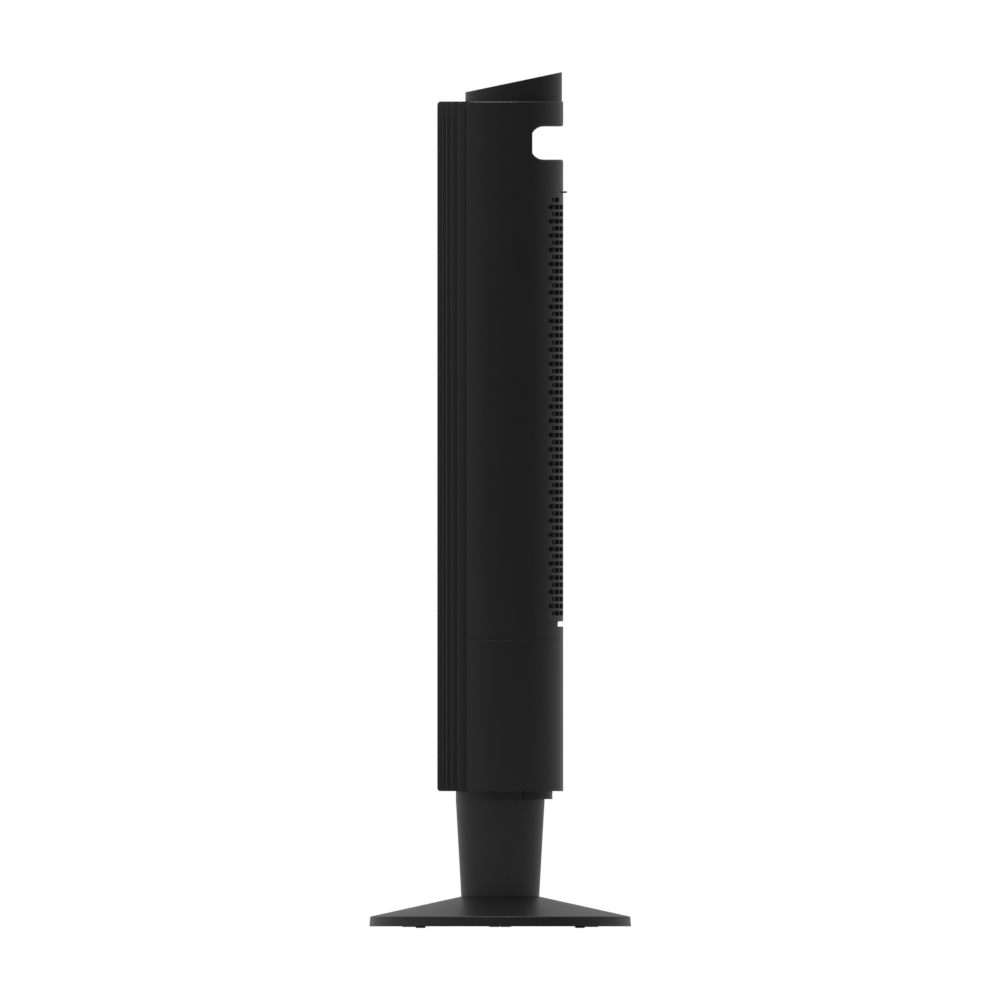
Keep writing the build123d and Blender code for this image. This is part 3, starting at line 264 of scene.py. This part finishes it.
def woundCopper(name, look):
    settings = {"Metallic": 1.0, "Roughness": look["roughness"], "Coat Weight": look["coat"],
                "Coat Roughness": look["coatRoughness"]}
    material, tree, shader, place = startMaterial(name, settings)
    waveLength = 0.314  # one ring of the wave texture at scale 1
    rings = {"wave_type": "RINGS", "rings_direction": "Z", "Scale": waveLength / (look["wire"] * mm),
             "Distortion": look["uneven"], "Detail": 1.0}
    turns = addNode(tree, "ShaderNodeTexWave", rings, {"Vector": place})
    # each turn is painted paler on its crown and darker in the groove to the next: painted highlight and
    # painted shade
    tones = {"data_type": "RGBA", 6: linearColour(look["dark"]), 7: linearColour(look["pale"])}
    tone = addNode(tree, "ShaderNodeMix", tones, {0: turns.outputs["Fac"]})
    bump = addNode(tree, "ShaderNodeBump", {"Strength": 1.0, "Distance": look["wire"] * mm / 3},
                   {"Height": turns.outputs["Fac"]})
    tree.links.new(tone.outputs[2], shader.inputs["Base Color"])
    tree.links.new(bump.outputs["Normal"], shader.inputs["Normal"])
    return material


# enamelled copper wire, wound in layers: red-brown with a varnish gloss
copperLook = {"dark": "#7c3a1c", "pale": "#bf6a3c", "roughness": 0.32, "coat": 0.5, "coatRoughness": 0.1,
              "wire": 0.9, "uneven": 0.6}  # real wire is 0.3 mm, drawn coarser to show
print("metals ready")


def maskedBoard(name, look):
    material, tree, shader, place = startMaterial(name, {"IOR": 1.55, "Roughness": look["roughness"],
                                                         "Coat Weight": look["coat"]})
    bricks = {"Scale": 1.0, "Mortar Size": look["track"] * mm, "Brick Width": look["length"] * mm,
              "Row Height": look["pitch"] * mm, "Color1": linearColour(look["mask"]),
              "Color2": linearColour(look["shade"]), "Mortar": linearColour(look["copper"])}
    tracks = addNode(tree, "ShaderNodeTexBrick", bricks, {"Vector": place})
    bump = addNode(tree, "ShaderNodeBump", {"Strength": 1.0, "Distance": look["foil"] * mm},
                   {"Height": tracks.outputs["Fac"]})
    tree.links.new(tracks.outputs["Color"], shader.inputs["Base Color"])
    tree.links.new(bump.outputs["Normal"], shader.inputs["Normal"])
    return material


# glass fibre board under green solder mask: copper tracks show through as paler lines
boardLook = {"mask": "#14512a", "shade": "#0f4623", "copper": "#2d7a44", "roughness": 0.35, "coat": 0.2,
             "track": 0.4, "pitch": 3.0, "length": 9.0, "foil": 0.035}

finishes = {
    "housing_plastic": mouldedPlastic("absSparkTextured", housingLook),
    "grille_plastic": mouldedPlastic("absFineTexturedPaintedLight", grilleLook),
    "base_plastic": mouldedPlastic("polypropyleneSatin", baseLook),
    "panel_plastic": mouldedPlastic("absPolishedMould", panelLook),
    "button_plastic": mouldedPlastic("absKeyTextured", keyLook),
    "smoked_window": smokedAcrylic("acrylicSmokedPolished", windowLook),
    "rubber": softRubber("rubberMoulded", rubberLook),
    "foam": softRubber("foamDieCut", foamLook),
    "ballast_steel": metalPart("castIronBlackCoated", ballastLook),
    "zinc_steel": metalPart("steelZincPlated", zincLook),
    "nylon": mouldedPlastic("nylonMoulded", nylonLook),
    "wheel_plastic": mouldedPlastic("polypropyleneGlassFilled", wheelLook),
    "motor_shell": metalPart("aluminiumDeepDrawn", shellLook),
    "lamination_steel": stackedSteel("siliconSteelStacked", laminationLook),
    "copper": woundCopper("copperEnamelledWound", copperLook),
    "bronze": metalPart("bronzeSintered", bronzeLook),
    "circuit_board": maskedBoard("glassFibreMasked", boardLook),
    "component_plastic": mouldedPlastic("epoxyMoulded", componentLook),
}
ownFinish = {"rear_grille": "housing_plastic"}  # the intake panel is as smooth as the housing round it

for part in frame["record"]["subparts"]:
    material = finishes[ownFinish.get(part["node"], part["material_slot"])]
    for slot in frame["nodes"][part["node"]].material_slots:
        slot.material = material
print("finishes given to every solid")


def addPrism(build, low, high):
    # closed body between two outlines, both anticlockwise as seen from the high side
    under = [build.verts.new(point) for point in low]
    over = [build.verts.new(point) for point in high]
    build.faces.new(under[::-1])
    build.faces.new(over)
    for i in range(len(under)):
        j = (i + 1) % len(under)
        build.faces.new((under[i], under[j], over[j], over[i]))


def placePiece(name, build, material):
    mesh = bpy.data.meshes.new(name)
    build.to_mesh(mesh)
    build.free()
    mesh.materials.append(material)
    piece = bpy.data.objects.new(name, mesh)
    bpy.context.scene.collection.objects.link(piece)
    return piece


# generic signs on the five keys, in millimetres on the key's face: x to the right, y away from the user
signLook = {"thickness": 0.04, "lift": 0.01, "line": 0.5, "ring": 2.6, "steps": 24,
            "powerGap": 60, "stemFoot": 0.6, "stemHeight": 3.0,
            "barWidth": 0.9, "barFoot": -1.9, "bars": ((-1.7, 1.4), (0, 2.6), (1.7, 3.8)),  # place and height
            "moonHorn": 60, "arrowTip": 3.1, "arrowFoot": 1.7, "arrowHalf": 1.2,
            "longHand": 2.0, "shortHand": 1.1, "shortHandPlace": 0.8}


def arcPoints(x, radius, start, end):
    # points of an arc with its centre at x, angles in degrees from the right
    steps = signLook["steps"]
    turns = [math.radians(start + (end - start) * i / steps) for i in range(steps + 1)]
    return [(x + radius * math.cos(t), radius * math.sin(t)) for t in turns]


def ringOutline(start, end):
    ring, half = signLook["ring"], signLook["line"] / 2
    return arcPoints(0, ring + half, start, end) + arcPoints(0, ring - half, end, start)


def barOutline(x, y, width, height):
    left, right, top = x - width / 2, x + width / 2, y + height
    return [(left, y), (right, y), (right, top), (left, top)]


def powerOutlines():
    gap = signLook["powerGap"] / 2  # the ring is open round the stem, on both sides of 90 degrees
    stem = barOutline(0, signLook["stemFoot"], signLook["line"], signLook["stemHeight"])
    return [ringOutline(90 + gap, 450 - gap), stem]


def speedOutlines():
    foot, width = signLook["barFoot"], signLook["barWidth"]
    return [barOutline(x, foot, width, height) for x, height in signLook["bars"]]


def modeOutlines():
    ring, horn = signLook["ring"], signLook["moonHorn"]
    outer = arcPoints(0, ring, horn, 360 - horn)
    inner = arcPoints(ring * math.cos(math.radians(horn)), ring * math.sin(math.radians(horn)), 270, 90)
    return [outer + inner[1:-1]]  # both arcs meet in the two horns


def swingOutlines():
    tip, foot, half = signLook["arrowTip"], signLook["arrowFoot"], signLook["arrowHalf"]
    left = [(-tip, 0), (-foot, -half), (-foot, half)]
    right = [(-x, -y) for x, y in left]
    return [left, right, barOutline(0, -signLook["line"] / 2, 2 * foot, signLook["line"])]


def timerOutlines():
    line = signLook["line"]
    longHand = barOutline(0, -line / 2, line, signLook["longHand"])
    shortHand = barOutline(signLook["shortHandPlace"], -line / 2, signLook["shortHand"], line)
    return [ringOutline(90, 270), ringOutline(270, 450), longHand, shortHand]


def keyFace(key):
    # middle of the key's sloping face with its right, up and outward directions, from the key's own mesh
    normal = Vector((0, 0, 0))
    for face in key.data.polygons:
        if face.normal.z > 0.9:
            normal += face.normal * face.area
    normal.x = 0
    normal.normalize()
    right = Vector((1, 0, 0))
    up = normal.cross(right)
    level = max(corner.co.dot(normal) for corner in key.data.vertices)
    rim = [corner.co for corner in key.data.vertices if level - corner.co.dot(normal) < 0.1 * mm]
    middle = normal * level
    for way in (right, up):
        middle += way * (min(point.dot(way) for point in rim) + max(point.dot(way) for point in rim)) / 2
    return middle, right, up, normal


def makeSign(name, outlines, ink):
    middle, right, up, normal = keyFace(frame["nodes"][name + "_button"])
    build = bmesh.new()
    for outline in outlines:
        area = sum(a[0] * b[1] - b[0] * a[1] for a, b in zip(outline, outline[1:] + outline[:1]))
        outline = outline if area > 0 else outline[::-1]
        low = [middle + (right * x + up * y + normal * signLook["lift"]) * mm for x, y in outline]
        addPrism(build, low, [point + normal * signLook["thickness"] * mm for point in low])
    sign = placePiece(name + "Symbol", build, ink)
    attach(sign, name + "_key")


ink = mouldedPlastic("inkPadPrinted", inkLook)
makeSign("power", powerOutlines(), ink)
makeSign("speed", speedOutlines(), ink)
makeSign("mode", modeOutlines(), ink)
makeSign("swing", swingOutlines(), ink)
makeSign("timer", timerOutlines(), ink)
print("key signs drawn")

# foam tape inside the housing, along both sides of the tilting panel: it closes the joint to air and light
sealLook = {"wall": 2.5, "gap": 0.2, "thickness": 0.6, "cover": 3.0, "margin": 0.5, "steps": 6}


def makeSeal(name, side):
    low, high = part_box("rear_grille")
    panelEdge = min(-low.x, high.x)
    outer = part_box("upper_rear_housing")[1].x - (sealLook["wall"] + sealLook["gap"]) * mm
    inner = outer - sealLook["thickness"] * mm
    start = math.asin((panelEdge - sealLook["cover"] * mm) / outer)
    end = math.asin((panelEdge + sealLook["cover"] * mm) / outer)
    turns = [start + (end - start) * i / sealLook["steps"] for i in range(sealLook["steps"] + 1)]
    outline = [(side * outer * math.sin(t), outer * math.cos(t)) for t in turns]
    outline += [(side * inner * math.sin(t), inner * math.cos(t)) for t in reversed(turns)]
    outline = outline[::-1] if side > 0 else outline
    foot, head = low.z + sealLook["margin"] * mm, high.z - sealLook["margin"] * mm
    build = bmesh.new()
    addPrism(build, [(x, y, foot) for x, y in outline], [(x, y, head) for x, y in outline])
    seal = placePiece(name, build, finishes["foam"])
    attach(seal, "tower")


makeSeal("panelSealLeft", -1)
makeSeal("panelSealRight", 1)
print("panel seals in place")

# matt paper floor: it holds the shadow and fades into the white room
floorLook = {"size": 7.0, "fadeStart": 1.0, "fadeEnd": 3.2,  # metres
             "tone": "#c4c4c4", "roughness": 0.9, "fibre": 2.0, "fibreDepth": 0.02, "drop": 0.05}


def makeFloor():
    build = bmesh.new()
    bmesh.ops.create_grid(build, x_segments=24, y_segments=24, size=floorLook["size"] / 2)
    settings = {"Roughness": floorLook["roughness"], "IOR": 1.45}
    material, tree, shader, place = startMaterial("paperBackdropMatt", settings)
    fibre = addNode(tree, "ShaderNodeTexNoise", {"Scale": 1 / (floorLook["fibre"] * mm), "Detail": 3.0},
                    {"Vector": place})
    bump = addNode(tree, "ShaderNodeBump", {"Strength": 0.2, "Distance": floorLook["fibreDepth"] * mm},
                   {"Height": fibre.outputs["Fac"]})
    shader.inputs["Base Color"].default_value = linearColour(floorLook["tone"])
    tree.links.new(bump.outputs["Normal"], shader.inputs["Normal"])
    reach = addNode(tree, "ShaderNodeVectorMath", {"operation": "LENGTH"}, {0: place}).outputs["Value"]
    limits = {"interpolation_type": "SMOOTHSTEP", "From Min": floorLook["fadeStart"],
              "From Max": floorLook["fadeEnd"]}
    fade = addNode(tree, "ShaderNodeMapRange", limits, {"Value": reach})
    clear = addNode(tree, "ShaderNodeBsdfTransparent").outputs["BSDF"]
    paper = addNode(tree, "ShaderNodeMixShader", {},
                    {0: fade.outputs["Result"], 1: shader.outputs["BSDF"], 2: clear})
    tree.links.new(paper.outputs["Shader"], tree.nodes["Material Output"].inputs["Surface"])
    floor = placePiece("studioFloor", build, material)
    floor.location.z = cadBox[0][2] - floorLook["drop"] * mm


# the room: white where it is seen direct, and grey walls in reflections. They are darkest at dimSide degrees
# from +X towards +Y, and each level stands at its share of the way from there to the far side
roomLook = {"ambience": 0.5, "dimSide": 25.0,
            "walls": ((0.0, 0.08), (0.1, 0.1), (0.3, 0.3), (0.5, 0.42), (0.75, 0.5), (1.0, 0.57))}


def makeRoom():
    world = bpy.data.worlds.new("paleRoom")
    world.use_nodes = True
    bpy.context.scene.world = world
    tree = world.node_tree
    shade = tree.nodes["Background"]
    rays = addNode(tree, "ShaderNodeLightPath")
    way = addNode(tree, "ShaderNodeTexCoord").outputs["Generated"]
    turn = math.radians(roomLook["dimSide"])
    axis = (math.cos(turn), math.sin(turn), 0.0)
    facing = addNode(tree, "ShaderNodeVectorMath", {"operation": "DOT_PRODUCT", 1: axis}, {0: way})
    share = addNode(tree, "ShaderNodeMapRange", {"From Min": 1.0, "From Max": -1.0},
                    {"Value": facing.outputs["Value"]})
    walls = addNode(tree, "ShaderNodeValToRGB", {}, {"Fac": share.outputs["Result"]})
    ramp = walls.color_ramp
    while len(ramp.elements) < len(roomLook["walls"]):
        ramp.elements.new(0.5)
    for stop, (at, level) in zip(ramp.elements, roomLook["walls"]):
        stop.position = at
        stop.color = (level, level, level, 1.0)
    clear = addNode(tree, "ShaderNodeMath", {"operation": "MAXIMUM"},
                    {0: rays.outputs["Is Camera Ray"], 1: rays.outputs["Is Transmission Ray"]})
    shown = addNode(tree, "ShaderNodeMath", {"operation": "MAXIMUM"},
                    {0: clear.outputs["Value"], 1: rays.outputs["Is Glossy Ray"]})
    white = [1.0, 1.0, 1.0, 1.0]
    seen = addNode(tree, "ShaderNodeMix", {"data_type": "RGBA", 7: white},
                   {0: clear.outputs["Value"], 6: walls.outputs["Color"]})
    glow = [roomLook["ambience"]] * 3 + [1.0]
    colour = addNode(tree, "ShaderNodeMix", {"data_type": "RGBA", 6: glow},
                     {0: shown.outputs["Value"], 7: seen.outputs[2]})
    tree.links.new(colour.outputs[2], shade.inputs["Color"])
    shade.inputs["Strength"].default_value = 1.0


# two square softboxes, in watts and metres: one straight above, one above the camera
softboxes = {"softboxAbove": {"power": 62.0, "size": 3.0, "reach": 0.0, "height": 3.4},
             "softboxFront": {"power": 28.0, "size": 2.2, "reach": 1.6, "height": 3.0}}


def addSoftbox(name, box):
    lamp = bpy.data.lights.new(name, "AREA")
    lamp.energy = box["power"]
    lamp.shape = "SQUARE"
    lamp.size = box["size"]
    spot = Vector((box["reach"], 0, box["height"]))
    middle = Vector((0, 0, (cadBox[0][2] + cadBox[1][2]) / 2))
    holder = bpy.data.objects.new(name, lamp)
    holder.location = spot
    holder.rotation_euler = (middle - spot).to_track_quat("-Z", "Y").to_euler()
    bpy.context.scene.collection.objects.link(holder)


# level with the middle of the object, which fills this share of the frame's height
cameraLook = {"reach": 4.0, "sideways": -0.3, "heightShare": 0.856}


def addCamera():
    low, high = cadBox
    camera = bpy.data.cameras.new("camera")
    camera.type = "ORTHO"
    camera.ortho_scale = (high[2] - low[2]) / cameraLook["heightShare"]
    holder = bpy.data.objects.new("camera", camera)
    holder.location = (cameraLook["reach"], cameraLook["sideways"] * mm, (high[2] + low[2]) / 2)
    holder.rotation_euler = (math.radians(90), 0, math.radians(90))
    bpy.context.scene.collection.objects.link(holder)
    bpy.context.scene.camera = holder


makeFloor()
makeRoom()
for name, box in softboxes.items():
    addSoftbox(name, box)
addCamera()
bpy.context.scene.view_settings.view_transform = "Standard"
print("studio ready")
